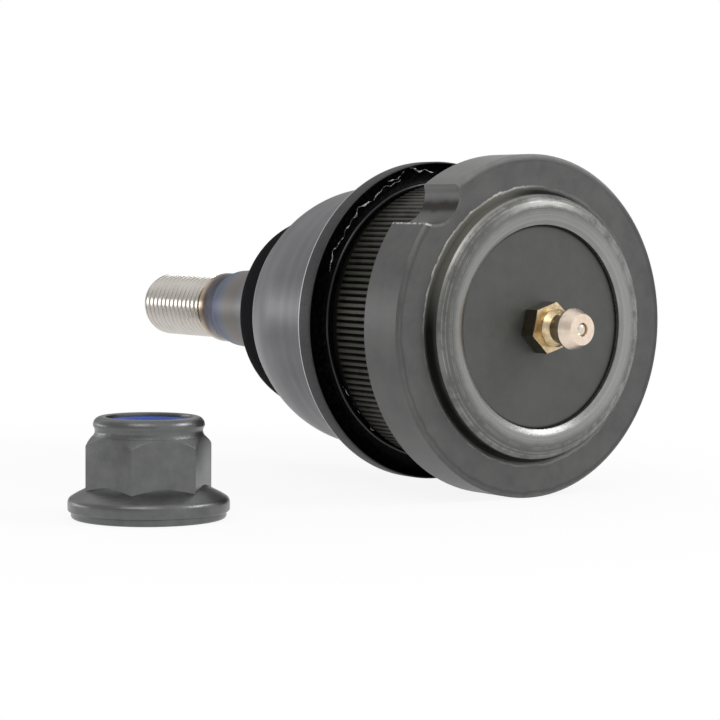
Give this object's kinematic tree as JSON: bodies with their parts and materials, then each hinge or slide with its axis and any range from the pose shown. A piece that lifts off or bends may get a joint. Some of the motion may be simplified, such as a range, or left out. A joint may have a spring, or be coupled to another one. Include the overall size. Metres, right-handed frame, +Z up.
{
  "type": "suspension ball joint",
  "caption": "Press-in greaseable suspension ball joint with flanged serrated barrel, domed boot and tapered threaded stud, lying beside its flanged lock nut.",
  "frame": {"origin": "centre of the ball, about which the stud swings", "axes": "+X along the housing's axis from the ball towards the grease fitting, +Z up as the part lies on its flange and boot rim, the stud points to -X"},
  "size_m": [0.1251, 0.105, 0.056],
  "materials": {
    "forged_steel": "dark phosphate on turned forging, satin",
    "cover_steel": "dark phosphate, matt",
    "bearing_steel": "ground and hardened",
    "valve_steel": "bright, with a warm tint like the plating round it",
    "spring_steel": "tempered",
    "stud_steel": "machined, with heat tint at the thread's root",
    "rim_steel": "rubber-skinned steel, satin outside and glossy inside",
    "boot_rubber": "satin grey moulded rubber",
    "collar_rubber": "matt black moulded rubber",
    "fitting_metal": "pale gold plating",
    "nut_steel": "grey phosphate, matt",
    "nut_nylon": "blue nylon"
  },
  "bodies": {
    "socket": {"housing": "forged_steel", "cover_plate": "cover_steel", "upper_bearing": "bearing_steel", "preload_spring": "spring_steel", "boot_rim": "rim_steel", "boot_retainer": "spring_steel", "grease_fitting": "fitting_metal", "grease_check_spring": "spring_steel"},
    "heading": {"lower_bearing": "bearing_steel", "boot": "boot_rubber"},
    "swing": {"boot_collar": "collar_rubber", "collar_garter": "spring_steel"},
    "stud": {"ball_stud": "stud_steel"},
    "check_valve": {"grease_check_ball": "valve_steel"},
    "nut": {"lock_nut": "nut_steel", "nut_insert": "nut_nylon"}
  },
  "joints": [
    {"name": "swing_heading", "type": "hinge", "parent": "socket", "child": "heading", "pos_m": [0, 0, 0], "axis": [1, 0, 0], "continuous": true},
    {"name": "stud_swing", "type": "hinge", "parent": "heading", "child": "swing", "pos_m": [0, 0, 0], "axis": [0, 0, 1], "range_deg": [-20, 20], "deforming": ["boot"]},
    {"name": "stud_spin", "type": "hinge", "parent": "swing", "child": "stud", "pos_m": [0, 0, 0], "axis": [1, 0, 0], "continuous": true},
    {"name": "check_ball_push", "type": "slide", "parent": "socket", "child": "check_valve", "axis": [-1, 0, 0], "range_m": [0, 0.0006], "stiffness_N_per_m": 60, "springref_m": -0.002, "deforming": ["grease_check_spring"]},
    {"name": "nut_turn", "type": "hinge", "parent": "socket", "child": "nut", "pos_m": [0.0027, -0.0648, -0.028], "axis": [0, 0, 1], "continuous": true}
  ]
}
